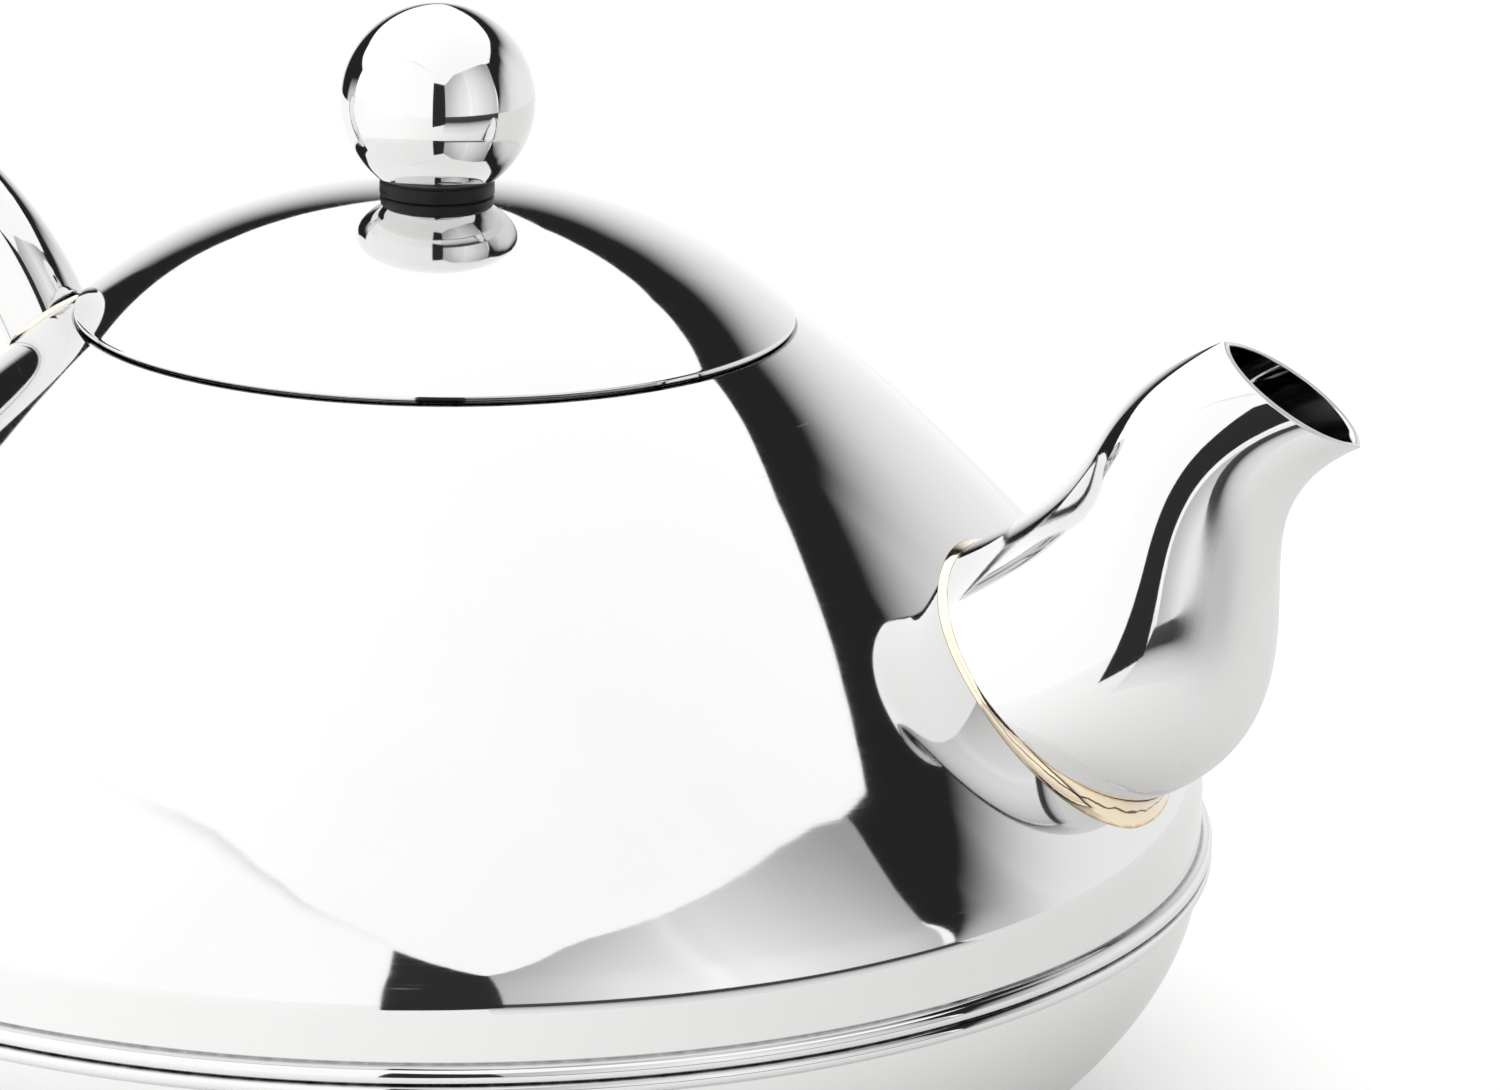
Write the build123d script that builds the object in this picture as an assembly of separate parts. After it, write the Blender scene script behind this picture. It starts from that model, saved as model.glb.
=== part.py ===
from build123d import *
import os
from math import cos, radians, sin

# Round teapot in polished sheet metal: two pressed shells joined at a waist bead, a swan-neck
# spout, a tubular side handle and a lift-off lid with a ball knob.
# Millimetres. Origin at the centre of the base ring, on the table. +Z up, +X to the spout,
# handle towards -X. Heights named "over the waist" are measured from the seam at the waist.

# ---- driving dimensions -------------------------------------------------------------------
WAIST_Z = 33.0              # widest level of the body, over the table
BODY_R = 78.8               # body radius just above and just below the bead
SEAM_RISE = -1.1            # seam between the two body shells, over the waist
BEAD_R = 80.0               # crest of each of the two rolled edges
BEAD_GROOVE_R = 79.55       # bottom of the groove between the rolls
BEAD_CREST = 0.75           # height of a crest from the seam
BEAD_SHOULDER = 1.45        # height of a roll's shoulder from the seam
BEAD_HALF = 1.75            # height where a roll meets the body, from the seam
BEAD_FALL = 0.35            # a roll's shoulder lies this far inside its crest,
BEAD_TUCK = 0.2             # and its hollow this far from its foot
WALL = 0.8                  # sheet thickness of the shells, lid and spout

RIM_R = 36.1                # lid edge, and the shoulder of the opening
RIM_RISE = 51.6             # shoulder of the opening, over the waist
RIM_SLOPE = 31.0            # slope of the body at the shoulder, degrees
KNUCKLE_RISE = 5.1          # the body is upright up to here
KNUCKLE_R = 8.0             # then it turns inwards by
KNUCKLE_TURN = 28.0         # this angle, degrees
DOME_LEAVE = 11.0           # reach of the dome's curve at the knuckle
DOME_ARRIVE = 14.0          # and at the shoulder
MOUTH_R = 33.4              # clear radius of the opening
NECK_DEPTH = 3.2            # down-turned edge around the opening

BASE_R = 40.0               # outer edge of the flat ring that the pot stands on
BASE_INNER_R = 34.0
BASE_RECESS = 1.5           # the middle of the base is pressed up by this much
BOWL_DROP = 15.5            # reach of the bowl's curve below the waist
BOWL_SPREAD = 60.5          # and its outward reach at the base

LEDGE_R = 35.5              # ledge that carries the lid, sunk below the shoulder
LID_EDGE = 0.5              # upright edge of the lid
LID_GAP = 0.25              # open gap between the lid's edge and the shoulder
LID_FOOT_R = 35.35          # outside of the foot that stands on the ledge
LID_TOP_RISE = 64.1         # flat top of the lid, over the waist
LID_TOP_SLOPE = 4.0         # slope of the lid next to the flat, degrees
LID_TOP_REACH = 9.0         # reach of the lid's curve at the flat
LID_EDGE_REACH = 13.6       # and at the edge
LID_EDGE_SLOPE = 40.5       # slope of the lid at its edge, degrees
LID_FLAT_R = 5.9            # the pressed flat that the knob stands on
RING_R = 32.95              # locating ring under the lid
RING_WALL = 0.6
RING_DEPTH = 6.0            # how far the ring reaches below the shoulder

BALL_R = 9.75
BALL_FOOT_R = 5.6           # edge of the flat that the ball stands on
WASHER_R = 5.75             # black heat-insulating washer under the ball
WASHER_T = 1.5
WASHER_ROUND = 0.3          # rounding of its edges
SCREW_R = 2.0               # M4
SCREW_CLEARANCE = 0.05
SCREW_HEAD_R = 3.9
SCREW_HEAD_T = 2.2
SLOT_WIDTH = 1.0            # screwdriver slot across the head
SLOT_DEPTH = 1.0
SCREW_REACH = 6.0           # length of screw inside the ball's bush
BUSH_R = 4.4                # threaded bush fixed in the ball
BUSH_LENGTH = 7.5
TIP_CLEARANCE = 0.7         # between the screw's tip and the bottom of the bush
PLATE_WASHER_R = 4.6        # metal washer under the screw head
PLATE_WASHER_T = 0.8

HANDLE_TUBE_R = 4.7
HANDLE_WALL = 0.9
HANDLE_FOOT = (-43.1, 45.0)     # centre line where it enters the body (x, rise over the waist)
HANDLE_RISE_ANGLE = 68.0        # slope of the centre line at the foot, degrees
HANDLE_TOP_BEND_R = 33.0        # over the top and down the back
HANDLE_LOW_BEND_R = 23.0        # back in towards the body
HANDLE_END_X = -70.0            # inside the wall, trimmed by the body

BRAZE = 1.1                 # height of the braze fillet round each joint
SPOUT_BRAZE = 2.0           # its width on the body round the spout

STRAINER_HOLE_R = 1.5
STRAINER_PITCH = 4.6
STRAINER_REACH = 10.5       # holes lie within this distance of the spout's centre line
STRAINER_CENTRE = (67.2, 22.8)
STRAINER_DRILL = 6.0        # half length of the cut through the wall

# Spout, in the plane of symmetry (x, rise over the waist): both edges are Bezier curves from
# inside the body to the mouth. Sections are lens shaped; the roundness of their two ends falls
# from 1 (an ellipse) at the root to SPOUT_MOUTH_ROUND at the mouth.
SPOUT_UPPER = [(51.0, 31.0), (78.4, 45.3), (63.5, 48.1), (82.6, 58.1)]
SPOUT_LOWER = [(70.0, 10.4), (81.8, 10.2), (95.9, 19.6), (87.7, 31.6), (84.1, 42.8), (96.8, 49.2)]
SPOUT_ROOT_HALF_WIDTH = 15.9
SPOUT_MOUTH_HALF_WIDTH = 5.6
SPOUT_TAPER = 1.9               # power of the narrowing along the spout
SPOUT_MOUTH_ROUND = 0.7
SPOUT_SHARPENING = 2.4          # power of the change from ellipse to lens
SPOUT_STATIONS = 12             # sections along the whole spout
SPOUT_ROOT_STATIONS = 6         # sections that reach past the joint with the body


# ---- helpers ------------------------------------------------------------------------------
def over_waist(r, rise):
    """A point of a profile in the XZ plane: radius, height over the waist."""
    return Vector(r, 0, WAIST_Z + rise)


def bezier(*points):
    return Edge.make_bezier(*[over_waist(r, z) for r, z in points])


def line(a, b):
    return Edge.make_line(over_waist(*a), over_waist(*b))


def arc(a, middle, b):
    return Edge.make_three_point_arc(over_waist(*a), over_waist(*middle), over_waist(*b))


def turned(*edges):
    """The solid swept by a closed profile turning round the Z axis."""
    face = Face(Wire(edges))
    return Solid.revolve(face, 360, Axis.Z)


def disc_stack(radius, low, high):
    """An upright cylinder between two heights over the waist."""
    place = Location((0, 0, WAIST_Z + low))
    return Solid.make_cylinder(radius, high - low).moved(place)


def roll(side):
    """Outer face of one rolled edge of the bead, from the groove to the body."""
    groove = (BEAD_GROOVE_R, SEAM_RISE)
    crest = (BEAD_R, SEAM_RISE + side * BEAD_CREST)
    shoulder = (BEAD_R - BEAD_FALL, SEAM_RISE + side * BEAD_SHOULDER)
    foot = (BODY_R, SEAM_RISE + side * BEAD_HALF)
    hollow = (BODY_R + BEAD_FALL, SEAM_RISE + side * (BEAD_HALF - BEAD_TUCK))
    return [arc(groove, crest, shoulder), arc(shoulder, hollow, foot)]


def lowest(shape):
    return shape.solids().sort_by(Axis.Z)[0]


# ---- body ---------------------------------------------------------------------------------
def dome_edges(inset):
    """Side of the upper shell, from the bead to the shoulder, set in from the outside by inset."""
    turn, slope = radians(KNUCKLE_TURN), radians(RIM_SLOPE)
    centre_r, radius = BODY_R - KNUCKLE_R, KNUCKLE_R - inset

    def knuckle(angle):
        return (centre_r + radius * cos(angle), KNUCKLE_RISE + radius * sin(angle))

    top = knuckle(turn)
    leave = (top[0] - DOME_LEAVE * sin(turn), top[1] + DOME_LEAVE * cos(turn))
    rim = (RIM_R - inset * sin(slope), RIM_RISE - inset * cos(slope))
    arrive = (rim[0] + DOME_ARRIVE * cos(slope), rim[1] - DOME_ARRIVE * sin(slope))
    return [
        line((BODY_R - inset, SEAM_RISE + BEAD_HALF), knuckle(0)),
        arc(knuckle(0), knuckle(turn / 2), top),
        bezier(top, leave, arrive, rim),
    ]


def dome_rim(inset):
    """Upper end of dome_edges: radius, rise over the waist."""
    slope = radians(RIM_SLOPE)
    return (RIM_R - inset * sin(slope), RIM_RISE - inset * cos(slope))


def upper_shell_blank():
    """The upper shell before the strainer holes: bead, dome, ledge and down-turned edge."""
    ledge = RIM_RISE - LID_GAP
    neck_r = MOUTH_R + WALL
    inner_rim = dome_rim(WALL)
    shoulder = (LEDGE_R, RIM_RISE)
    step = (LEDGE_R, ledge)
    return turned(
        *roll(1),
        *dome_edges(0),
        line(dome_rim(0), shoulder),
        line(shoulder, step),
        line(step, (MOUTH_R, ledge)),
        line((MOUTH_R, ledge), (MOUTH_R, ledge - NECK_DEPTH)),
        line((MOUTH_R, ledge - NECK_DEPTH), (neck_r, ledge - NECK_DEPTH)),
        line((neck_r, ledge - NECK_DEPTH), (neck_r, inner_rim[1])),
        line((neck_r, inner_rim[1]), inner_rim),
        *dome_edges(WALL),
        line((BODY_R - WALL, SEAM_RISE + BEAD_HALF), (BODY_R - WALL, SEAM_RISE)),
        line((BODY_R - WALL, SEAM_RISE), (BEAD_GROOVE_R, SEAM_RISE)),
    )


def dome_block(proud):
    """Everything inside the upper shell's outside, grown outwards by proud."""
    corner = dome_rim(-proud)
    top = (0, corner[1])
    low, high = SEAM_RISE - BEAD_HALF, SEAM_RISE + BEAD_HALF
    foot = (BODY_R + proud, low)
    return turned(
        *dome_edges(-proud),
        line(corner, top),
        line(top, (0, low)),
        line((0, low), foot),
        line(foot, (BODY_R + proud, high)),
    )


def strainer_holes():
    """Drills for the perforated patch of the wall behind the spout, square to the wall."""
    upper, lower = spout_edges()
    along = (upper.position_at(0) - lower.position_at(0)).normalized()
    square = Vector(0, 1, 0).cross(along)
    patch = Plane(origin=over_waist(*STRAINER_CENTRE), x_dir=(0, 1, 0), z_dir=square)
    row_step = STRAINER_PITCH * sin(radians(60))
    rows = int(STRAINER_REACH / row_step) + 1
    drills = []
    for row in range(-rows, rows + 1):
        for col in range(-rows, rows + 1):
            across = (col + (row % 2) / 2) * STRAINER_PITCH
            up = row * row_step
            if across ** 2 + up ** 2 < STRAINER_REACH ** 2:
                spot = patch * Location((across, up, -STRAINER_DRILL))
                drills.append(Solid.make_cylinder(STRAINER_HOLE_R, 2 * STRAINER_DRILL).moved(spot))
    return drills


def lower_shell():
    base = -WAIST_Z
    top = SEAM_RISE - BEAD_HALF
    side = [(BODY_R, top), (BODY_R, -BOWL_DROP), (BOWL_SPREAD, base), (BASE_R, base)]
    inside = [(BODY_R - WALL, top), (BODY_R - WALL, -BOWL_DROP + WALL / 2),
              (BOWL_SPREAD, base + WALL), (BASE_R, base + WALL)]
    recess_r = BASE_INNER_R - 2 * BASE_RECESS
    recess = base + BASE_RECESS
    return turned(
        *roll(-1),
        bezier(*side),
        line((BASE_R, base), (BASE_INNER_R, base)),
        line((BASE_INNER_R, base), (recess_r, recess)),
        line((recess_r, recess), (0, recess)),
        line((0, recess), (0, recess + WALL)),
        line((0, recess + WALL), (recess_r, recess + WALL)),
        line((recess_r, recess + WALL), (BASE_INNER_R, base + WALL)),
        line((BASE_INNER_R, base + WALL), (BASE_R, base + WALL)),
        bezier(*reversed(inside)),
        line(inside[0], (BODY_R - WALL, SEAM_RISE)),
        line((BODY_R - WALL, SEAM_RISE), (BEAD_GROOVE_R, SEAM_RISE)),
    )


# ---- spout --------------------------------------------------------------------------------
def spout_edges():
    return bezier(*SPOUT_UPPER), bezier(*SPOUT_LOWER)


def spout_section(along, grow):
    """Closed lens or ellipse across the spout at a fraction of its length, grown by grow."""
    upper, lower = spout_edges()
    up, low = upper.position_at(along), lower.position_at(along)
    middle = (up + low) / 2
    across = (up - low).normalized() * ((up - low).length / 2 + grow)
    narrowing = SPOUT_ROOT_HALF_WIDTH - SPOUT_MOUTH_HALF_WIDTH
    half_width = SPOUT_ROOT_HALF_WIDTH - along ** SPOUT_TAPER * narrowing
    roundness = 1 - along ** SPOUT_SHARPENING * (1 - SPOUT_MOUTH_ROUND)
    sides = []
    for side in (1, -1):
        pull = Vector(0, side * (half_width + grow) * 4 / 3, 0)
        sides.append(Edge.make_bezier(
            middle + across, middle + across * roundness + pull,
            middle - across * roundness + pull, middle - across))
    return Wire(sides)


def spout_solid(grow, count=SPOUT_STATIONS):
    """The spout's envelope, grown outwards (or set in) by grow."""
    last = SPOUT_STATIONS - 1
    return Solid.make_loft([spout_section(i / last, grow) for i in range(count)])


def spout_shell(body):
    return spout_solid(0) - spout_solid(-WALL) - body


def half_space(side):
    """A block that covers y > 0 (side 1) or y < 0 (side -1)."""
    size = 400
    block = Solid.make_box(size, size, size)
    return block.moved(Location((-size / 2, (side - 1) * size / 2, -size / 2)))


# ---- handle -------------------------------------------------------------------------------
def on_bend(centre, radius, heading):
    """Point of a left-hand bend where the path points along heading, degrees from +X."""
    angle = radians(heading - 90)
    return (centre[0] + radius * cos(angle), centre[1] + radius * sin(angle))


def handle_path():
    """Centre line: up and back from the foot, over the top, down, and in again."""
    start, down, inward = 180 - HANDLE_RISE_ANGLE, 270, 360
    x, rise = HANDLE_FOOT
    top_r, low_r = HANDLE_TOP_BEND_R, HANDLE_LOW_BEND_R
    top = (x - top_r * sin(radians(HANDLE_RISE_ANGLE)), rise - top_r * cos(radians(HANDLE_RISE_ANGLE)))
    low = (top[0] - top_r + low_r, top[1])
    bottom = on_bend(low, low_r, inward)
    return [
        arc((x, rise), on_bend(top, top_r, (start + down) / 2), on_bend(top, top_r, down)),
        arc(on_bend(low, low_r, down), on_bend(low, low_r, (down + inward) / 2), bottom),
        line(bottom, (HANDLE_END_X, bottom[1])),
    ]


def handle_solid(radius):
    path = Wire(handle_path())
    start = path.position_at(0)
    section = Plane(origin=start, z_dir=path.tangent_at(0))
    return Solid.sweep(Face(Wire.make_circle(radius, section)), path)


# ---- lid and knob -------------------------------------------------------------------------
def lid_curves():
    """Outer and inner side of the lid, from the flat top to the edge."""
    edge_top = RIM_RISE + LID_GAP + LID_EDGE
    slope = radians(LID_EDGE_SLOPE)
    fall = LID_TOP_REACH * sin(radians(LID_TOP_SLOPE))
    brow_r = LID_FLAT_R + LID_TOP_REACH * cos(radians(LID_TOP_SLOPE))
    knee = (RIM_R - LID_EDGE_REACH * cos(slope), edge_top + LID_EDGE_REACH * sin(slope))
    outer = [(LID_FLAT_R, LID_TOP_RISE), (brow_r, LID_TOP_RISE - fall), knee, (RIM_R, edge_top)]
    inner_top = LID_TOP_RISE - WALL
    inner_knee = (knee[0] - WALL * sin(slope), knee[1] - WALL * cos(slope))
    inner_end = (LID_FOOT_R - WALL, edge_top - WALL / 4)
    inner = [(LID_FLAT_R, inner_top), (brow_r, inner_top - fall), inner_knee, inner_end]
    return outer, inner


def lid_shell():
    outer, inner = lid_curves()
    hole = SCREW_R + SCREW_CLEARANCE
    seat = RIM_RISE - LID_GAP
    edge = RIM_RISE + LID_GAP
    return turned(
        line((hole, LID_TOP_RISE), outer[0]),
        bezier(*outer),
        line(outer[3], (RIM_R, edge)),
        line((RIM_R, edge), (LID_FOOT_R, edge)),
        line((LID_FOOT_R, edge), (LID_FOOT_R, seat)),
        line((LID_FOOT_R, seat), (LID_FOOT_R - WALL, seat)),
        line((LID_FOOT_R - WALL, seat), inner[3]),
        bezier(*reversed(inner)),
        line(inner[0], (hole, LID_TOP_RISE - WALL)),
        line((hole, LID_TOP_RISE - WALL), (hole, LID_TOP_RISE)),
    )


def lid_ring(lid):
    low = RIM_RISE - RING_DEPTH
    tall = disc_stack(RING_R, low, LID_TOP_RISE) - disc_stack(RING_R - RING_WALL, low, LID_TOP_RISE)
    return lowest(tall - lid)


def ball_centre_rise():
    return LID_TOP_RISE + WASHER_T + (BALL_R ** 2 - BALL_FOOT_R ** 2) ** 0.5


def knob_ball():
    centre = ball_centre_rise()
    place = Location((0, 0, WAIST_Z + centre))
    skin = Solid.make_sphere(BALL_R).moved(place) - Solid.make_sphere(BALL_R - WALL).moved(place)
    foot = LID_TOP_RISE + WASHER_T
    flat = disc_stack(BALL_R, foot - BALL_R, foot)
    return skin - flat - disc_stack(BUSH_R, foot, foot + WALL * 2)


def knob_bush():
    low = LID_TOP_RISE + WASHER_T
    bore = SCREW_R + SCREW_CLEARANCE
    hole = disc_stack(bore, low, low + SCREW_REACH + TIP_CLEARANCE)
    return disc_stack(BUSH_R, low, low + BUSH_LENGTH) - hole


def knob_washer():
    low = LID_TOP_RISE
    blank = disc_stack(WASHER_R, low, low + WASHER_T)
    rounded = blank.fillet(WASHER_ROUND, blank.edges().filter_by(GeomType.CIRCLE))
    return rounded - disc_stack(SCREW_R + SCREW_CLEARANCE, low - 1, low + WASHER_T + 1)


def plate_washer():
    high = LID_TOP_RISE - WALL
    low = high - PLATE_WASHER_T
    return disc_stack(PLATE_WASHER_R, low, high) - disc_stack(SCREW_R + SCREW_CLEARANCE, low, high)


def knob_screw():
    head_top = LID_TOP_RISE - WALL - PLATE_WASHER_T
    head = disc_stack(SCREW_HEAD_R, head_top - SCREW_HEAD_T, head_top)
    rim = head.edges().filter_by(GeomType.CIRCLE).sort_by(Axis.Z)[:1]
    head = head.fillet(SCREW_HEAD_T / 3, rim)
    shank = disc_stack(SCREW_R, head_top - SCREW_HEAD_T / 2, LID_TOP_RISE + WASHER_T + SCREW_REACH)
    slot_top = head_top - SCREW_HEAD_T + SLOT_DEPTH
    slot = Solid.make_box(3 * SCREW_HEAD_R, SLOT_WIDTH, 2 * SLOT_DEPTH)
    corner = (-1.5 * SCREW_HEAD_R, -SLOT_WIDTH / 2, WAIST_Z + slot_top - 2 * SLOT_DEPTH)
    return head + shank - slot.moved(Location(corner))


# ---- assembly -----------------------------------------------------------------------------
def build():
    body = dome_block(0)
    body_proud = dome_block(BRAZE)
    spout = spout_shell(body)
    handle_outside = handle_solid(HANDLE_TUBE_R)
    handle_grown = handle_solid(HANDLE_TUBE_R + BRAZE)
    handle_brazes = (handle_grown & body_proud) - body - handle_outside
    handle_brazes = handle_brazes.solids().sort_by(Axis.Z)
    lid = lid_shell()
    upper = upper_shell_blank()
    for drill in strainer_holes():
        upper = upper - drill
    return {
        "upper_shell": upper,
        "lower_shell": lower_shell(),
        "spout_left_half": spout & half_space(1),
        "spout_right_half": spout & half_space(-1),
        "spout_braze": (spout_solid(SPOUT_BRAZE, SPOUT_ROOT_STATIONS) & body_proud) - body - spout_solid(0),
        "handle_tube": handle_outside - handle_solid(HANDLE_TUBE_R - HANDLE_WALL) - body,
        "handle_top_braze": handle_brazes[-1],
        "handle_bottom_braze": handle_brazes[0],
        "lid_shell": lid,
        "lid_ring": lid_ring(lid),
        "knob_ball": knob_ball(),
        "knob_bush": knob_bush(),
        "knob_washer": knob_washer(),
        "knob_screw": knob_screw(),
        "knob_plate_washer": plate_washer(),
    }


os.makedirs("parts", exist_ok=True)
for node, shape in build().items():
    export_step(shape, f"parts/{node}.step")
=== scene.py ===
import math

import bpy
import numpy as np
from mathutils import Matrix, Vector


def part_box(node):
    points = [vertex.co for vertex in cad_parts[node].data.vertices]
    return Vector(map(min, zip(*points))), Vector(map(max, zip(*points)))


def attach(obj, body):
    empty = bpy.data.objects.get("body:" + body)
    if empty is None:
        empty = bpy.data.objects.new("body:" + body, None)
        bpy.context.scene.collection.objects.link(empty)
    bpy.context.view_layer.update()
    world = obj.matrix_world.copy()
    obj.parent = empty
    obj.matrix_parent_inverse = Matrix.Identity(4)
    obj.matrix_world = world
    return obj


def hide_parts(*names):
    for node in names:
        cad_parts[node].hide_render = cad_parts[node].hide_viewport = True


# Looks of the round polished teapot. Profiles are in millimetres: radius (or x) and height over
# the waist, which is the widest level of the body. They are the same curves as the CAD solids.
# Meshes are in metres.

MM = 0.001
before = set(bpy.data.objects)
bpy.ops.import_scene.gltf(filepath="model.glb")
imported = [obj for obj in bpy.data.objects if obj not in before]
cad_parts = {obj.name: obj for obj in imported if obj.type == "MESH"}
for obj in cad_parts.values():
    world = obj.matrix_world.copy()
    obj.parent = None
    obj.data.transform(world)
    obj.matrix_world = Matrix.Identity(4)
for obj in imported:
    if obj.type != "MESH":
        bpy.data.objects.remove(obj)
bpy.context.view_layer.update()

# ---- dimensions ---------------------------------------------------------------------------
SEAM_RISE = -1.1                      # seam of the two body shells, over the waist
WAIST_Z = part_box("upper_shell")[0].z / MM - SEAM_RISE
BEAD_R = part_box("upper_shell")[1].y / MM
RIM_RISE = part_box("upper_shell")[1].z / MM - WAIST_Z
RIM_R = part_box("lid_shell")[1].y / MM
LID_TOP_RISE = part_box("lid_shell")[1].z / MM - WAIST_Z
WASHER_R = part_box("knob_washer")[1].y / MM
WASHER_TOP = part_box("knob_washer")[1].z / MM - WAIST_Z
BALL_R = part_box("knob_ball")[1].y / MM
BALL_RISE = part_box("knob_ball")[1].z / MM - WAIST_Z - BALL_R

BODY_R, BEAD_GROOVE_R = 78.8, 79.55
BEAD_CREST, BEAD_SHOULDER, BEAD_HALF = 0.75, 1.45, 1.75
BEAD_FALL, BEAD_TUCK = 0.35, 0.2
WALL = 0.8
RIM_SLOPE = math.radians(31.0)
KNUCKLE_RISE, KNUCKLE_R, KNUCKLE_TURN = 5.1, 8.0, math.radians(28.0)
DOME_LEAVE, DOME_ARRIVE = 11.0, 14.0
MOUTH_R, NECK_DEPTH, LEDGE_R = 33.4, 3.2, 35.5
BASE_R, BASE_INNER_R, BASE_RECESS = 40.0, 34.0, 1.5
BOWL_DROP, BOWL_SPREAD = 15.5, 60.5
LID_EDGE, LID_GAP, LID_FOOT_R = 0.5, 0.25, 35.35
LID_EDGE_SLOPE, LID_EDGE_REACH, LID_FLAT_R = math.radians(40.5), 13.6, 5.9
LID_TOP_SLOPE, LID_TOP_REACH = math.radians(4.0), 9.0
SCREW_HOLE_R, BUSH_R = 2.05, 4.4

SPOUT_UPPER = [(51.0, 31.0), (78.4, 45.3), (63.5, 48.1), (82.6, 58.1)]
SPOUT_LOWER = [(70.0, 10.4), (81.8, 10.2), (95.9, 19.6), (87.7, 31.6), (84.1, 42.8), (96.8, 49.2)]
SPOUT_ROOT_HALF_WIDTH, SPOUT_MOUTH_HALF_WIDTH, SPOUT_TAPER = 15.9, 5.6, 1.9
SPOUT_MOUTH_ROUND, SPOUT_SHARPENING = 0.7, 2.4
SPOUT_LENGTH, SPOUT_HALF_GIRTH = 46.0, 30.0
SPOUT_ROOT_LIMIT = 0.6                # the root lies before this fraction of the spout's length

HANDLE_TUBE_R, HANDLE_WALL = 4.7, 0.9
HANDLE_FOOT = (-43.1, 45.0)
HANDLE_RISE_ANGLE = math.radians(68.0)
HANDLE_TOP_BEND_R, HANDLE_LOW_BEND_R, HANDLE_END_X = 33.0, 23.0, -70.0
HANDLE_GRAIN_R = 6.0
HANDLE_TOP_LIMIT, HANDLE_LOW_LIMIT = 14.0, 16.0   # the joints lie within these lengths of the ends

STRAINER_HOLE_R, STRAINER_PITCH, STRAINER_REACH = 1.5, 4.6, 10.5
STRAINER_CENTRE = (67.2, 22.8)

SEGMENTS, KNOB_SEGMENTS = 384, 192


# ---- directions in the studio -------------------------------------------------------------
CAMERA_TURN = math.radians(20.0)      # the spout's plane is turned this far towards the camera
WALL_R = 0.70                         # the sheets stand this far from the pot's axis


def room(x, y, z=0.0):
    """A point of the studio in the pot's frame: x to the picture's right and y away from the
    camera, both in metres from the pot's axis."""
    c, s = math.cos(CAMERA_TURN), math.sin(CAMERA_TURN)
    return x * c - y * s, x * s + y * c, z


def round_room(side_angle, distance, z):
    """The same by angle: 0 points to the camera, positive to the picture's right, in degrees."""
    a = math.radians(side_angle)
    return room(distance * math.sin(a), -distance * math.cos(a), z)


# ---- curves -------------------------------------------------------------------------------
def bezier(points, count):
    """Points of a Bezier curve of any degree at even steps of its parameter."""
    t = np.linspace(0, 1, count)[:, None]
    degree = len(points) - 1
    out = np.zeros((count, len(points[0])))
    for i, point in enumerate(points):
        out += math.comb(degree, i) * t ** i * (1 - t) ** (degree - i) * np.array(point, float)
    return out


def arc(centre, radius, start, end, count):
    angle = np.linspace(start, end, count)
    return np.c_[centre[0] + radius * np.cos(angle), centre[1] + radius * np.sin(angle)]


def arc_through(a, middle, b, count):
    """Circular arc through three points."""
    (ax, ay), (bx, by), (cx, cy) = a, middle, b
    d = 2 * (ax * (by - cy) + bx * (cy - ay) + cx * (ay - by))
    sa, sb, sc = ax * ax + ay * ay, bx * bx + by * by, cx * cx + cy * cy
    centre = ((sa * (by - cy) + sb * (cy - ay) + sc * (ay - by)) / d,
              (sa * (cx - bx) + sb * (ax - cx) + sc * (bx - ax)) / d)
    angles = np.unwrap([math.atan2(p[1] - centre[1], p[0] - centre[0]) for p in (a, middle, b)])
    return arc(centre, math.dist(a, centre), angles[0], angles[2], count)


def steps(a, b, count):
    return np.array(a) + (np.array(b) - np.array(a)) * np.linspace(0, 1, count)[:, None]


def chain(*runs):
    """One run of points out of several that share their ends."""
    out = [np.asarray(runs[0], float)]
    for run in runs[1:]:
        run = np.asarray(run, float)
        out.append(run[1:] if np.allclose(out[-1][-1], run[0]) else run)
    return np.concatenate(out)


def even_length(points, fractions):
    """Points at fractions of a curve's length."""
    fine = bezier(points, 1601)
    along = np.r_[0, np.cumsum(np.linalg.norm(np.diff(fine, axis=0), axis=1))]
    spots = np.asarray(fractions) * along[-1]
    return np.stack([np.interp(spots, along, fine[:, k]) for k in range(fine.shape[1])], -1)


# ---- mesh helpers -------------------------------------------------------------------------
def grid_faces(rows, cols, wrap_rows, wrap_cols, first=0):
    r = np.arange(rows if wrap_rows else rows - 1)
    c = np.arange(cols if wrap_cols else cols - 1)
    r, c = np.meshgrid(r, c, indexing="ij")
    r2, c2 = (r + 1) % rows, (c + 1) % cols
    quads = np.stack([r * cols + c, r * cols + c2, r2 * cols + c2, r2 * cols + c], -1)
    return (quads.reshape(-1, 4) + first).tolist()


def signed_volume(verts, faces):
    total = 0.0
    quads = np.array([f if len(f) == 4 else list(f) + [f[0]] for f in faces])
    v = verts[quads]
    for a, b, c in ((0, 1, 2), (0, 2, 3)):
        total += np.einsum("ij,ij->", v[:, a], np.cross(v[:, b], v[:, c]))
    return total


SHARP_ANGLE = 35.0                    # edges sharper than this stay sharp, degrees


def piece(name, verts, faces, body, replaced, slot, material, smooth_angle=SHARP_ANGLE):
    """A mesh object in millimetres turned into a piece of the teapot."""
    verts = np.asarray(verts, float)
    if signed_volume(verts, faces) < 0:
        faces = [list(reversed(f)) for f in faces]
    mesh = bpy.data.meshes.new(name)
    mesh.from_pydata((verts * MM).tolist(), [], faces)
    mesh.update()
    mesh.polygons.foreach_set("use_smooth", [True] * len(mesh.polygons))
    mesh.set_sharp_from_angle(angle=math.radians(smooth_angle))
    obj = bpy.data.objects.new(name, mesh)
    bpy.context.scene.collection.objects.link(obj)
    mesh.materials.append(material)
    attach(obj, body)
    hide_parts(*replaced)
    return obj


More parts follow.
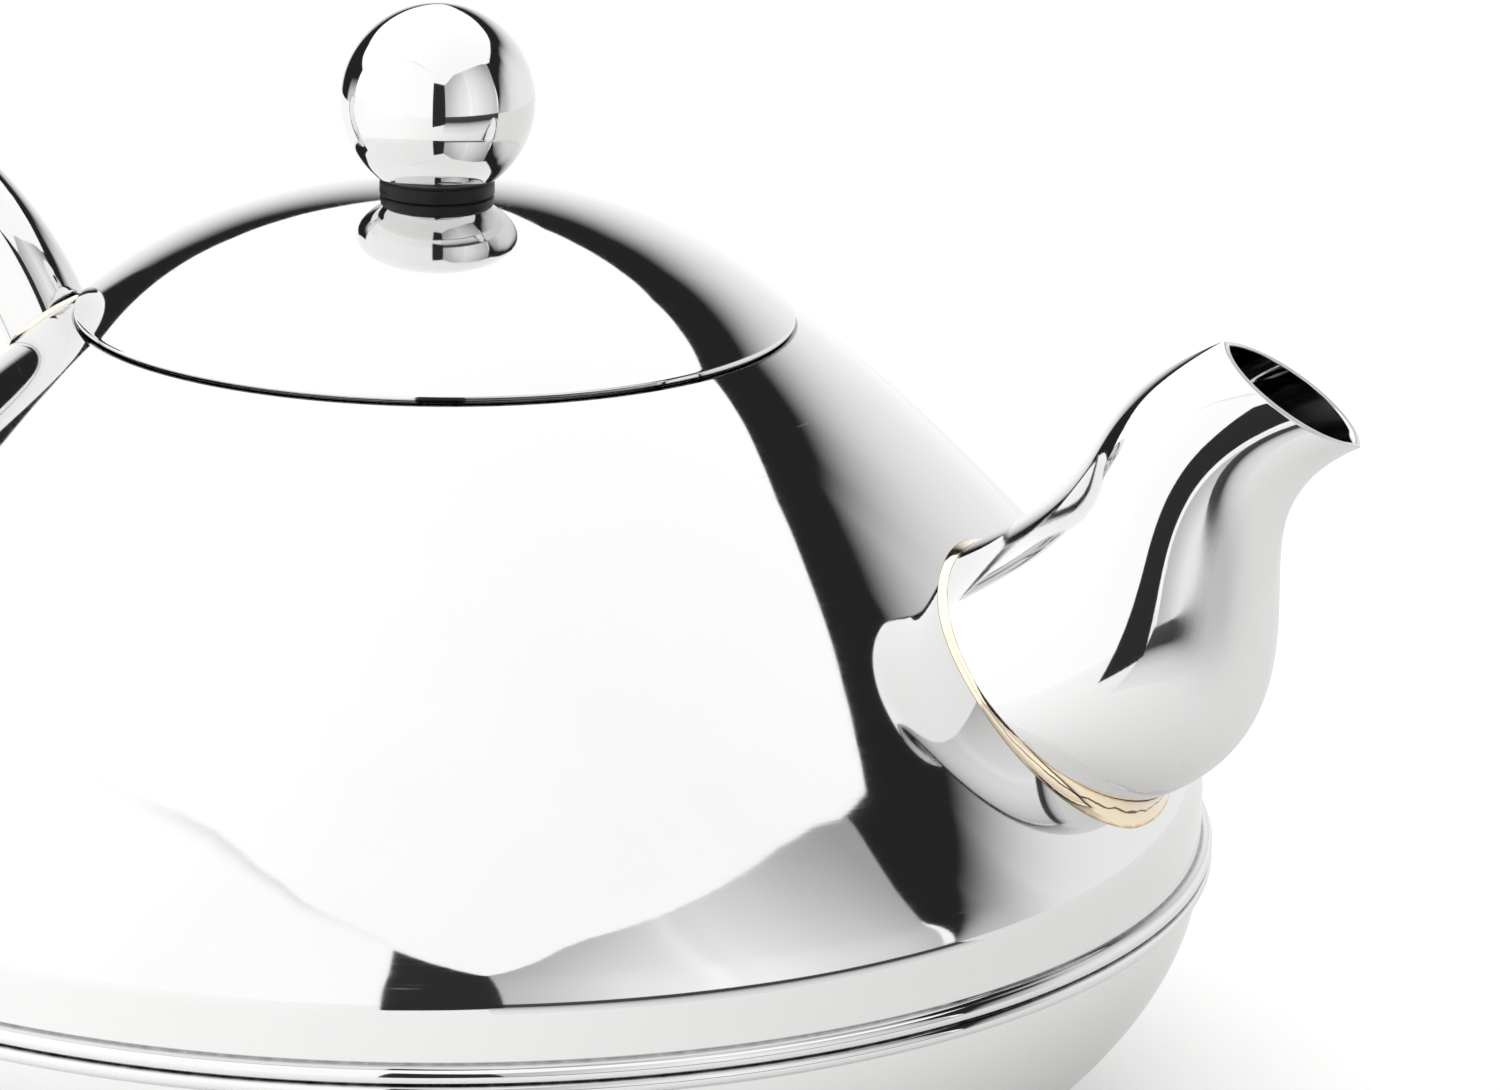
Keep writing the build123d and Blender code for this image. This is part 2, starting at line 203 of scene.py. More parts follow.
def revolve(profile, segments=SEGMENTS):
    """Closed surface of revolution from (radius, rise) points; a run that starts and ends on the
    axis is closed by poles, any other closes on itself."""
    profile = np.asarray(profile, float)
    on_axis = profile[0, 0] < 1e-6
    if on_axis:
        ring = profile[1:-1]
    else:
        ring = profile
    angle = np.linspace(0, 2 * np.pi, segments, endpoint=False)
    verts = np.stack([
        ring[:, None, 0] * np.cos(angle), ring[:, None, 0] * np.sin(angle),
        np.repeat(ring[:, 1:2] + WAIST_Z, segments, 1)], -1).reshape(-1, 3)
    faces = grid_faces(len(ring), segments, not on_axis, True)
    if on_axis:
        low, high = len(verts), len(verts) + 1
        verts = np.r_[verts, [[0, 0, profile[0, 1] + WAIST_Z], [0, 0, profile[-1, 1] + WAIST_Z]]]
        last = (len(ring) - 1) * segments
        for c in range(segments):
            n = (c + 1) % segments
            faces.append([low, n, c])
            faces.append([high, last + c, last + n])
    return verts, faces


def add_vectors(obj, name, values):
    """A vector for each vertex, for the material to read."""
    attribute = obj.data.attributes.new(name, "FLOAT_VECTOR", "POINT")
    attribute.data.foreach_set("vector", np.asarray(values, np.float32).ravel())


# ---- materials ----------------------------------------------------------------------------
class Nodes:
    """Short hand for building one material's node tree."""

    def __init__(self, name):
        self.material = bpy.data.materials.new(name)
        self.material.use_nodes = True
        self.tree = self.material.node_tree
        self.shader = self.tree.nodes["Principled BSDF"]

    def add(self, kind, settings=None, **inputs):
        made = self.tree.nodes.new("ShaderNode" + kind)
        for key, value in (settings or {}).items():
            setattr(made, key, value)
        for key, value in inputs.items():
            self.put(made.inputs[key.replace("_", " ")], value)
        return made

    def put(self, socket, value):
        if isinstance(value, bpy.types.NodeSocket):
            self.tree.links.new(value, socket)
        else:
            socket.default_value = value

    def math(self, operation, a, b=0.0):
        made = self.tree.nodes.new("ShaderNodeMath")
        made.operation = operation
        self.put(made.inputs[0], a)
        self.put(made.inputs[1], b)
        return made.outputs[0]

    def noise(self, vector, scale, detail=3.0, roughness=0.55):
        made = self.add("TexNoise", Scale=scale, Detail=detail, Roughness=roughness)
        self.put(made.inputs["Vector"], vector)
        return made.outputs["Fac"]

    def remap(self, value, low, high, to_low, to_high):
        made = self.add("MapRange", {"clamp": True}, Value=value)
        for key, number in zip(("From Min", "From Max", "To Min", "To Max"), (low, high, to_low, to_high)):
            made.inputs[key].default_value = number
        return made.outputs["Result"]

    def blend(self, factor, a, b):
        made = self.tree.nodes.new("ShaderNodeMix")
        made.data_type = "RGBA"
        self.put(made.inputs[0], factor)
        self.put(made.inputs[6], a)
        self.put(made.inputs[7], b)
        return made.outputs[2]

    def place(self):
        return self.add("TexCoord").outputs["Object"]

    def scaled(self, vector, scale):
        made = self.add("Mapping")
        self.put(made.inputs["Vector"], vector)
        made.inputs["Scale"].default_value = scale
        return made.outputs["Vector"]

    def round_grain(self):
        """Coordinates (arc, radius, height) round the Z axis, for lines that run round the pot."""
        split = self.add("SeparateXYZ", Vector=self.place())
        x, y, z = split.outputs
        turn = self.math("ARCTAN2", y, x)
        radius = self.math("SQRT", self.math("ADD", self.math("MULTIPLY", x, x), self.math("MULTIPLY", y, y)))
        joined = self.add("CombineXYZ", X=self.math("MULTIPLY", turn, 0.06), Y=radius, Z=z)
        return joined.outputs[0]

    def flow_grain(self):
        return self.add("Attribute", {"attribute_name": "flow"}).outputs["Vector"]

    def bump(self, height, distance, below=None):
        made = self.add("Bump", Height=height, Distance=distance, Strength=1.0)
        if below is not None:
            self.put(made.inputs["Normal"], below)
        return made.outputs["Normal"]


def painted_crease_shade(n, shaded_creases):
    """Painted shade in the crease lines: thin broken dark lines at (height, half width, strength)."""
    height = n.add("SeparateXYZ", Vector=n.place()).outputs[2]
    broken = n.remap(n.noise(n.scaled(n.round_grain(), (900, 900, 60)), 1.0, 3.0), 0.3, 0.7, 0.75, 1.0)
    total = None
    for level, half_width, strength in shaded_creases:
        away = n.math("ABSOLUTE", n.math("SUBTRACT", height, level * MM))
        near = n.remap(away, half_width * MM * 0.4, half_width * MM, strength, 0.0)
        total = near if total is None else n.math("MAXIMUM", total, near)
    return n.math("MULTIPLY", total, broken)


STEEL = (0.80, 0.799, 0.797)
SMEAR = (0.93, 0.927, 0.922)          # what a smear leaves of each colour
# colour of the painted shade along the crease lines
CREASE_SHADE_COLOUR = (0.03, 0.03, 0.03, 1)
GLOSS, LINE_GLOSS = 0.03, 0.052       # roughness between and on the buffing lines


def polished_steel(name, grain, wave=1.2e-5, shaded_creases=None, worn=None):
    """Mirror-polished stainless steel: fine buffing lines, faint smears, rare hairline scratches
    and the slight waviness of pressed sheet. The crease lines are painted shade, dark bands where
    a crease lies in shade; worn is the direction whose side is dulled."""
    n = Nodes(name)
    place = n.place()
    flow = n.round_grain() if grain == "round" else n.flow_grain()
    lines = n.noise(n.scaled(flow, (60, 5200, 5200)), 1.0, 2.0)
    smear = n.noise(place, 38.0, 4.0)
    haze = n.remap(smear, 0.45, 0.78, 0.0, 1.0)
    scratch_field = n.noise(n.scaled(flow, (90, 2600, 2600)), 1.0, 1.0, 0.4)
    patch = n.remap(n.noise(place, 90.0, 2.0), 0.55, 0.62, 0.0, 1.0)
    scratch = n.math("MULTIPLY", n.remap(scratch_field, 0.715, 0.74, 0.0, 1.0), patch)
    dark = tuple(clean * left for clean, left in zip(STEEL, SMEAR))
    metal = n.blend(n.math("MULTIPLY", haze, 0.35), (*STEEL, 1), (*dark, 1))
    # painted shade: dark broken lines where the crease lines lie in shade
    if shaded_creases:
        metal = n.blend(painted_crease_shade(n, shaded_creases), metal, CREASE_SHADE_COLOUR)
    n.put(n.shader.inputs["Base Color"], metal)
    n.shader.inputs["Metallic"].default_value = 1.0
    rough = n.math("ADD", n.remap(lines, 0.3, 0.7, GLOSS, LINE_GLOSS), n.math("MULTIPLY", haze, 0.018))
    rough = n.math("ADD", rough, n.math("MULTIPLY", scratch, 0.10))
    if worn:
        facing = n.add("VectorMath", {"operation": "DOT_PRODUCT"})
        n.put(facing.inputs[0], n.add("NewGeometry").outputs["Normal"])
        facing.inputs[1].default_value = worn
        rough = n.math("ADD", rough, n.remap(facing.outputs["Value"], 0.03, 0.36, 0.0, 0.30))
    n.put(n.shader.inputs["Roughness"], rough)
    waves = n.bump(n.noise(place, 95.0, 1.5, 0.4), wave)
    fine = n.bump(lines, 2.0e-7, waves)
    n.put(n.shader.inputs["Normal"], n.bump(scratch, 8.0e-7, fine))
    return n.material


def drawn_steel(name):
    """Plain drawn stainless steel with visible lines, for the small inner parts."""
    n = Nodes(name)
    flow = n.round_grain()
    lines = n.noise(n.scaled(flow, (40, 3000, 3000)), 1.0, 3.0)
    stain = n.noise(n.place(), 160.0, 4.0)
    n.put(n.shader.inputs["Base Color"], n.blend(stain, (0.58, 0.575, 0.56, 1), (0.68, 0.675, 0.665, 1)))
    n.shader.inputs["Metallic"].default_value = 1.0
    n.put(n.shader.inputs["Roughness"], n.remap(lines, 0.3, 0.7, 0.16, 0.32))
    n.put(n.shader.inputs["Normal"], n.bump(lines, 2.0e-6))
    return n.material


def braze_metal(name, pale, rich, edge_shade_strength):
    """Polished brazing filler, pale gold, with painted shade: a thin uneven brown line along each edge."""
    n = Nodes(name)
    split = n.add("SeparateXYZ", Vector=n.flow_grain())
    across = split.outputs[1]
    place = n.place()
    cloud = n.noise(place, 260.0, 3.0)
    edge = n.math("ABSOLUTE", n.math("SUBTRACT", across, 0.5))
    edge = n.math("ADD", edge, n.math("MULTIPLY", n.math("SUBTRACT", n.noise(place, 700.0, 3.0), 0.5), 0.16))
    # painted shade: a thin uneven brown line along each edge of the fillet, where it lies in shade
    edge_shade = n.math("MULTIPLY", n.remap(edge, 0.40, 0.50, 0.0, 1.0), edge_shade_strength)
    low = n.remap(n.add("SeparateXYZ", Vector=place).outputs[2], 0.050, 0.066, 1.0, 0.0)
    richness = n.math("ADD", n.math("MULTIPLY", low, 0.75), n.math("MULTIPLY", cloud, 0.25))
    filler = n.blend(richness, pale, rich)
    edge_shaded = n.blend(edge_shade, filler, (0.55, 0.34, 0.17, 1))
    # painted reflection: a dark wandering line along the lower, broad part of the fillet
    wander = n.math("MULTIPLY", n.math("SUBTRACT", n.noise(place, 420.0, 3.0), 0.5), 0.34)
    off_reflection = n.math("ABSOLUTE", n.math("SUBTRACT", n.math("ADD", across, wander), 0.55))
    line = n.math("MULTIPLY", n.remap(off_reflection, 0.02, 0.055, 0.9, 0.0), low)
    n.put(n.shader.inputs["Base Color"], n.blend(line, edge_shaded, (0.045, 0.03, 0.02, 1)))
    n.shader.inputs["Metallic"].default_value = 1.0
    rough = n.remap(n.noise(place, 1400.0, 3.0), 0.3, 0.7, 0.05, 0.10)
    n.put(n.shader.inputs["Roughness"], n.math("ADD", rough, n.math("MULTIPLY", edge_shade, 0.18)))
    waves = n.bump(n.noise(place, 420.0, 2.0), 2.2e-5)
    n.put(n.shader.inputs["Normal"], n.bump(n.noise(place, 2600.0, 2.0), 6.0e-7, waves))
    return n.material


def black_washer(name):
    """Matt black plastic that resists high temperatures, with a faint moulded grain and patches of wear."""
    n = Nodes(name)
    place = n.place()
    speck = n.noise(place, 2600.0, 2.0)
    wear = n.noise(place, 300.0, 3.0)
    n.put(n.shader.inputs["Base Color"], n.blend(wear, (0.004, 0.004, 0.0045, 1), (0.009, 0.009, 0.0085, 1)))
    n.put(n.shader.inputs["Roughness"], n.remap(wear, 0.3, 0.7, 0.34, 0.55))
    n.shader.inputs["Specular IOR Level"].default_value = 0.25
    n.put(n.shader.inputs["Normal"], n.bump(speck, 2.0e-5))
    return n.material


SEAM_Z, RIM_Z = WAIST_Z + SEAM_RISE, WAIST_Z + RIM_RISE
MATERIALS = {
    # the dark lines at the shell seam, the bead, the rim and the lid gap are painted shade
    "body_steel": polished_steel("body_steel", "round", shaded_creases=[
        (SEAM_Z, 0.30, 0.9), (SEAM_Z + BEAD_HALF, 0.22, 0.75), (RIM_Z, 0.16, 0.8)]),
    "bowl_steel": polished_steel("bowl_steel", "round", shaded_creases=[
        (SEAM_Z, 0.30, 0.9), (SEAM_Z - BEAD_HALF, 0.16, 0.35)]),
    "lid_steel": polished_steel("lid_steel", "round", wave=0.8e-5, shaded_creases=[
        (RIM_Z + LID_GAP, 0.28, 0.92)]),
    "knob_steel": polished_steel("knob_steel", "round", wave=0.3e-5),
    # the front of the spout is dulled by wiping
    "spout_steel": polished_steel("spout_steel", "flow", wave=1.6e-5, worn=round_room(98, 1.0, 0.0)),
    "handle_steel": polished_steel("handle_steel", "flow", wave=0.8e-5),
    "inner_steel": drawn_steel("inner_steel"),
    "braze": braze_metal("braze", (0.98, 0.92, 0.78, 1), (0.97, 0.82, 0.60, 1), 0.9),
    "foot_braze": braze_metal("foot_braze", (0.86, 0.83, 0.74, 1), (0.86, 0.80, 0.66, 1), 0.45),
    "washer_black": black_washer("washer_black"),
}


# ---- body shells --------------------------------------------------------------------------
def dome_profile(inset, fine=1.0):
    """Side of the upper shell from the bead to the shoulder, set in from the outside."""
    centre, radius = (BODY_R - KNUCKLE_R, KNUCKLE_RISE), KNUCKLE_R - inset
    knuckle = arc(centre, radius, 0, KNUCKLE_TURN, int(30 * fine))
    top = knuckle[-1]
    heading = np.array([-math.sin(KNUCKLE_TURN), math.cos(KNUCKLE_TURN)])
    fall = np.array([math.cos(RIM_SLOPE), -math.sin(RIM_SLOPE)])
    rim = np.array([RIM_R - inset * math.sin(RIM_SLOPE), RIM_RISE - inset * math.cos(RIM_SLOPE)])
    side = bezier([top, top + DOME_LEAVE * heading, rim + DOME_ARRIVE * fall, rim], int(110 * fine))
    wall_r = BODY_R - inset
    upright = steps((wall_r, SEAM_RISE + BEAD_HALF), (wall_r, KNUCKLE_RISE), 6)
    return chain(upright, knuckle, side)


def roll(side):
    """Outer face of one rolled edge of the bead, from the groove to the body."""
    groove, crest = (BEAD_GROOVE_R, SEAM_RISE), (BEAD_R, SEAM_RISE + side * BEAD_CREST)
    shoulder = (BEAD_R - BEAD_FALL, SEAM_RISE + side * BEAD_SHOULDER)
    hollow = (BODY_R + BEAD_FALL, SEAM_RISE + side * (BEAD_HALF - BEAD_TUCK))
    foot = (BODY_R, SEAM_RISE + side * BEAD_HALF)
    return chain(arc_through(groove, crest, shoulder, 14), arc_through(shoulder, hollow, foot, 10))


def upper_profile():
    ledge = RIM_RISE - LID_GAP
    neck_r, neck_low = MOUTH_R + WALL, ledge - NECK_DEPTH
    inner = dome_profile(WALL, 0.4)[::-1]
    return chain(
        roll(1), dome_profile(0),
        [(RIM_R, RIM_RISE), (LEDGE_R, RIM_RISE), (LEDGE_R, ledge), (MOUTH_R, ledge)],
        [(MOUTH_R, ledge), (MOUTH_R, neck_low), (neck_r, neck_low), (neck_r, inner[0][1])],
        inner, [(BODY_R - WALL, SEAM_RISE + BEAD_HALF), (BODY_R - WALL, SEAM_RISE)])


def strainer_cutter():
    """One mesh of short rods for the perforated patch behind the spout, square to the wall."""
    upper, lower = np.array(SPOUT_UPPER[0]), np.array(SPOUT_LOWER[0])
    along = (upper - lower) / np.linalg.norm(upper - lower)
    up = np.array([along[0], 0, along[1]])
    square = np.cross([0, 1, 0], up)
    middle = np.array([STRAINER_CENTRE[0], 0, STRAINER_CENTRE[1] + WAIST_Z])
    row_step = STRAINER_PITCH * math.sin(math.radians(60))
    rows = int(STRAINER_REACH / row_step) + 1
    sides, drill_reach = 28, 6.0
    verts, faces = [], []
    angle = np.linspace(0, 2 * np.pi, sides, endpoint=False)
    for row in range(-rows, rows + 1):
        for col in range(-rows, rows + 1):
            across, rise = (col + (row % 2) / 2) * STRAINER_PITCH, row * row_step
            if across ** 2 + rise ** 2 >= STRAINER_REACH ** 2:
                continue
            spot = middle + np.array([0, across, 0]) - up * rise
            ring = np.cos(angle)[:, None] * np.array([0, 1, 0]) + np.sin(angle)[:, None] * up
            first = len(verts)
            for end in (-drill_reach, drill_reach):
                verts.extend((spot + STRAINER_HOLE_R * ring + square * end).tolist())
            faces.extend(grid_faces(2, sides, False, True, first))
            faces.append(list(range(first, first + sides))[::-1])
            faces.append(list(range(first + sides, first + 2 * sides)))
    mesh = bpy.data.meshes.new("strainer_cutter")
    mesh.from_pydata((np.array(verts) * MM).tolist(), [], faces)
    cutter = bpy.data.objects.new("strainer_cutter", mesh)
    bpy.context.scene.collection.objects.link(cutter)
    return cutter


def cut_away(obj, cutter):
    """Boolean difference, applied, with the cutter removed."""
    change = obj.modifiers.new("cut", "BOOLEAN")
    change.operation, change.solver, change.object = "DIFFERENCE", "EXACT", cutter
    bpy.context.view_layer.update()
    made = bpy.data.meshes.new_from_object(obj.evaluated_get(bpy.context.evaluated_depsgraph_get()))
    obj.modifiers.remove(change)
    old, obj.data = obj.data, made
    made.name = obj.name
    bpy.data.meshes.remove(old)
    bpy.data.objects.remove(cutter)
    made.polygons.foreach_set("use_smooth", [True] * len(made.polygons))
    made.set_sharp_from_angle(angle=math.radians(SHARP_ANGLE))


def upper_shell():
    upper = piece("upper_shell_steel", *revolve(upper_profile()), "pot", ["upper_shell"],
                  "body_steel", MATERIALS["body_steel"])
    cut_away(upper, strainer_cutter())


def lower_shell():
    base, top = -WAIST_Z, SEAM_RISE - BEAD_HALF
    outer = bezier([(BODY_R, top), (BODY_R, -BOWL_DROP), (BOWL_SPREAD, base), (BASE_R, base)], 90)
    inner_r, floor = BODY_R - WALL, base + WALL
    inner = bezier([(inner_r, top), (inner_r, -BOWL_DROP + WALL / 2),
                    (BOWL_SPREAD, floor), (BASE_R, floor)], 40)
    recess_r, recess = BASE_INNER_R - 2 * BASE_RECESS, base + BASE_RECESS
    underside = [(0, recess), (recess_r / 2, recess), (recess_r, recess),
                 (BASE_INNER_R, base), (BASE_R, base)]
    seam = [(BEAD_GROOVE_R, SEAM_RISE), (inner_r, SEAM_RISE), (inner_r, top)]
    floor_in = [(BASE_R, floor), (BASE_INNER_R, floor), (recess_r, recess + WALL), (0, recess + WALL)]
    profile = chain(underside, outer[::-1], roll(-1)[::-1], seam, inner, floor_in)
    piece("lower_shell_steel", *revolve(profile), "pot", ["lower_shell"],
          "bowl_steel", MATERIALS["bowl_steel"])


DOME = dome_profile(0)


def off_dome(points, inset=0.0):
    """How far points lie outside the upper shell, measured along the radius."""
    rise = points[..., 2] - WAIST_Z
    return np.hypot(points[..., 0], points[..., 1]) - np.interp(rise, DOME[:, 1], DOME[:, 0]) + inset


def find_wall(surface, low, high, inset=0.0):
    """For each parameter pair, the value between low (inside the body) and high (outside) where
    the surface crosses the dome."""
    low, high = low.copy(), high.copy()
    for _ in range(40):
        middle = (low + high) / 2
        inside = off_dome(surface(middle), inset) < 0
        low, high = np.where(inside, middle, low), np.where(inside, high, middle)
    return (low + high) / 2


# ---- spout --------------------------------------------------------------------------------
def spout_point(along, turn, side, grow):
    """Points of the spout's surface: along 0..1 from root to mouth, turn 0..1 from the upper to
    the lower edge, on one side of the symmetry plane."""
    along = np.clip(along, 0, 1)
    up, low = even_length(SPOUT_UPPER, along), even_length(SPOUT_LOWER, along)
    middle, half = (up + low) / 2, (up - low) / 2
    length = np.linalg.norm(half, axis=-1, keepdims=True)
    half = half / length * (length + grow)
    width = SPOUT_ROOT_HALF_WIDTH - along ** SPOUT_TAPER * (SPOUT_ROOT_HALF_WIDTH - SPOUT_MOUTH_HALF_WIDTH)
    roundness = 1 - along ** SPOUT_SHARPENING * (1 - SPOUT_MOUTH_ROUND)
    b0, b1, b2, b3 = (1 - turn) ** 3, 3 * (1 - turn) ** 2 * turn, 3 * (1 - turn) * turn ** 2, turn ** 3
    reach = (b0 - b3 + (b1 - b2) * roundness)[..., None]
    y = side * (width + grow) * 4 / 3 * (b1 + b2)
    flat = middle + half * reach
    return np.stack([flat[..., 0], y, flat[..., 1] + WAIST_Z], -1)


def spout_normal(along, turn, side, grow):
    """Unit normals of that surface, pointing outwards."""
    eps = 1e-4
    lo, hi = np.clip(along - eps, 0, 1), np.clip(along + eps, 0, 1)
    d_along = spout_point(hi, turn, side, grow) - spout_point(lo, turn, side, grow)
    lo, hi = np.clip(turn - eps, 0, 1), np.clip(turn + eps, 0, 1)
    d_turn = spout_point(along, hi, side, grow) - spout_point(along, lo, side, grow)
    n = np.cross(d_along, d_turn) * side
    n /= np.linalg.norm(n, axis=-1, keepdims=True)
    return n


SPOUT_COLS = 61


def spout_root(side, grow, inset=0.05):
    """Fraction along the spout where each line of the surface leaves the dome."""
    turn = np.linspace(0, 1, SPOUT_COLS)
    start = np.zeros(SPOUT_COLS)
    limit = start + SPOUT_ROOT_LIMIT
    return find_wall(lambda along: spout_point(along, turn, side, grow), start, limit, inset)


def seam_strip(edge, rows, rows_in):
    """Faces across the wall's thickness along one edge of a spout half, from the outer rows to
    the inner rows, which are fewer."""
    ring = [row * SPOUT_COLS + edge for row in range(rows)]
    share = (rows - rows_in) / (rows_in - 1)
    faces = []
    for k in range(rows_in - 1):
        a, b = int(round(k * share)), int(round((k + 1) * share))
        inner = ring[rows - 1 - k]
        faces += [[ring[step], ring[step + 1], inner] for step in range(a, b)]
        faces.append([ring[b], ring[rows - 2 - k], inner])
    return faces


def spout_half(side):
    """One pressed half of the spout: outer wall, rounded lip, inner wall and seam edge."""
    rows_out, rows_in, lip = 110, 70, 0.26
    lip_start = 1 - lip / SPOUT_LENGTH
    turn, mouth = np.linspace(0, 1, SPOUT_COLS), np.ones(SPOUT_COLS)

    def grain(along):
        return np.stack([along * SPOUT_LENGTH, turn * SPOUT_HALF_GIRTH, turn * 0], -1) * MM

    def wall(count, grow, outward):
        root = spout_root(side, grow)
        rows = []
        for k in np.linspace(0, 1, count):
            along = root + (lip_start - root) * k
            normal = spout_normal(along, turn, side, grow) * outward
            rows.append((spout_point(along, turn, side, grow), normal, grain(along)))
        return rows

    def lip_rows(end, tip, aside, angles):
        rows = []
        for angle in np.radians(angles):
            drawn_in = (tip - end - forward * lip) * (1 - math.cos(angle))
            point = end + drawn_in + forward * lip * math.sin(angle)
            rows.append((point, aside * math.cos(angle) + forward * math.sin(angle), grain(mouth)))
        return rows

    outer, inner = wall(rows_out, 0.0, 1), wall(rows_in, -WALL, -1)
    outer_end, aside = outer[-1][0], outer[-1][1]
    inner_end = spout_point(np.full(SPOUT_COLS, lip_start), turn, side, -WALL)
    forward = spout_point(mouth, turn, side, 0) - outer_end
    forward /= np.linalg.norm(forward, axis=-1, keepdims=True)
    tip_out, tip_in = (spout_point(mouth, turn, side, grow) for grow in (-lip, -WALL + lip))
    angles = [22.5, 45, 67.5, 90]
    rows = outer + lip_rows(outer_end, tip_out, aside, angles)
    rows += lip_rows(inner_end, tip_in, -aside, angles[::-1]) + inner[::-1]
    verts, normals, flow = (np.concatenate(column) for column in zip(*rows))
    faces = grid_faces(len(rows), SPOUT_COLS, True, False)
    for edge in (0, SPOUT_COLS - 1):
        faces += seam_strip(edge, len(rows), rows_in)
    faces = [list(face) for face in faces if len(set(face)) == len(face)]
    if signed_volume(verts, faces) < 0:
        faces = [face[::-1] for face in faces]
    name = "spout_left_half" if side > 0 else "spout_right_half"
    obj = piece(name + "_steel", verts, faces, "pot", [name], "spout_steel", MATERIALS["spout_steel"], 60)
    add_vectors(obj, "flow", flow)
    obj.data.normals_split_custom_set_from_vertices(normals.tolist())


def smooth_noise(points, scale, seed):
    """Repeatable smooth random numbers, about -1 to 1, at points in space."""
    rng = np.random.default_rng(seed)
    total = np.zeros(len(points))
    for _ in range(14):
        direction = rng.normal(size=3)
        direction *= scale * rng.uniform(0.6, 1.6) / np.linalg.norm(direction)
        total += np.sin(points @ direction + rng.uniform(0, 2 * np.pi))
    return total / 4.0


def braze_ring(name, node, metal, root_curve, out_on_dome, up_on_part, seed):
    """A smooth polished fillet round a joint. root_curve is the closed line of the joint; the
    other two are the fillet's edges on the dome and on the joined part."""
    rows, fullness = 17, 0.42
    count = len(root_curve)
    verts, flow = [], []
    lift = (out_on_dome + up_on_part) / 2 - root_curve
    lift /= np.linalg.norm(lift, axis=1, keepdims=True)
    ripple = smooth_noise(root_curve, 0.5, seed) * 0.035
    around = np.linspace(0, 1, count)
    for share in np.linspace(0, 1, rows):
        a, b, c = (1 - share) ** 2, 2 * share * (1 - share), share ** 2
        pull = root_curve * fullness + (out_on_dome + up_on_part) * (1 - fullness) / 2
        line = out_on_dome * a + pull * b + up_on_part * c
        verts.append(line + lift * (ripple * math.sin(math.pi * share))[:, None])
        flow.append(np.stack([around, np.full(count, share), np.zeros(count)], -1))
    verts.append(root_curve - lift * 0.3)
    flow.append(np.stack([around, np.full(count, 1.0), np.zeros(count)], -1))
    grid = np.concatenate(verts)
    faces = grid_faces(rows + 1, count, True, True)
    obj = piece(name, grid, faces, "pot", [node], "braze", MATERIALS[metal], 75)
    add_vectors(obj, "flow", np.concatenate(flow))


def to_dome(points, proud):
    """Points moved along their radius onto the dome, then outwards by proud."""
    rise = points[:, 2] - WAIST_Z
    radius = np.interp(rise, DOME[:, 1], DOME[:, 0]) + proud
    scale = radius / np.hypot(points[:, 0], points[:, 1])
    return np.c_[points[:, 0] * scale, points[:, 1] * scale, points[:, 2]]


def closed_loop(per_side):
    """Joins a run for side +1 and the reversed run for side -1 into one closed loop."""
    left, right = per_side(1), per_side(-1)
    return np.concatenate([left, right[::-1][1:-1]])


def spout_braze():
    turn = np.linspace(0, 1, 181)
    zero = turn * 0

    def joint(side, grow, inset, extra=0.0):
        limit = zero + SPOUT_ROOT_LIMIT
        root = find_wall(lambda a: spout_point(a, turn, side, grow), zero, limit, inset)
        return spout_point(root + extra, turn, side, grow)

    root = closed_loop(lambda side: joint(side, 0.0, 0.0))
    # a thin line at the top and sides that widens to a broad fillet under the spout
    low = np.concatenate([turn, turn[::-1][1:-1]])
    wide = np.clip((low - 0.42) / 0.5, 0, 1) ** 1.4
    spread = 0.66 + 1.9 * wide + smooth_noise(root, 0.35, 5) * 0.10
    climb = 0.62 + 1.75 * wide + smooth_noise(root, 0.35, 8) * 0.08
    outward = closed_loop(lambda side: joint(side, 1.0, 0.0)) - root
    outward /= np.linalg.norm(outward, axis=1, keepdims=True)
    on_dome = to_dome(root + outward * spread[:, None], 0.02)
    forward = closed_loop(lambda side: joint(side, 0.02, 0.0, 0.03)) - root
    forward /= np.linalg.norm(forward, axis=1, keepdims=True)
    on_spout = root + forward * climb[:, None]
    braze_ring("spout_braze_gold", "spout_braze", "braze", root, on_dome, on_spout, 21)


# ---- handle -------------------------------------------------------------------------------
def handle_path(count=400):
    """Centre line of the handle: up and back from the foot, over the top, down and in again."""
    x, rise = HANDLE_FOOT
    top_r, low_r = HANDLE_TOP_BEND_R, HANDLE_LOW_BEND_R
    top = (x - top_r * math.sin(HANDLE_RISE_ANGLE), rise - top_r * math.cos(HANDLE_RISE_ANGLE))
    low = (top[0] - top_r + low_r, top[1])
    start = math.pi / 2 - HANDLE_RISE_ANGLE
    run = chain(arc(top, top_r, start, math.pi, count), arc(low, low_r, math.pi, 1.5 * math.pi, count),
                steps((low[0], low[1] - low_r), (HANDLE_END_X, low[1] - low_r), count // 4))
    along = np.r_[0, np.cumsum(np.linalg.norm(np.diff(run, axis=0), axis=1))]
    return run, along


HANDLE_RUN, HANDLE_ALONG = handle_path()
HANDLE_HEADING = np.gradient(HANDLE_RUN, HANDLE_ALONG, axis=0)


def handle_point(along, turn, radius):
    """Points of the tube at lengths along its centre line and angles round it."""
    spot = np.stack([np.interp(along, HANDLE_ALONG, HANDLE_RUN[:, k]) for k in (0, 1)], -1)
    head = np.stack([np.interp(along, HANDLE_ALONG, HANDLE_HEADING[:, k]) for k in (0, 1)], -1)
    head /= np.linalg.norm(head, axis=-1, keepdims=True)
    out = np.stack([-head[..., 1], head[..., 0]], -1)
    flat = spot + out * (radius * np.cos(turn))[..., None]
    return np.stack([flat[..., 0], radius * np.sin(turn), flat[..., 1] + WAIST_Z], -1)


def handle_ends(turn, radius, inset):
    total = HANDLE_ALONG[-1]
    zero = np.zeros(len(turn))
    start = find_wall(lambda s: handle_point(s, turn, radius), zero, zero + HANDLE_TOP_LIMIT, inset)
    low_end = zero + total
    end = find_wall(lambda s: handle_point(s, turn, radius), low_end, low_end - HANDLE_LOW_LIMIT, inset)
    return start, end


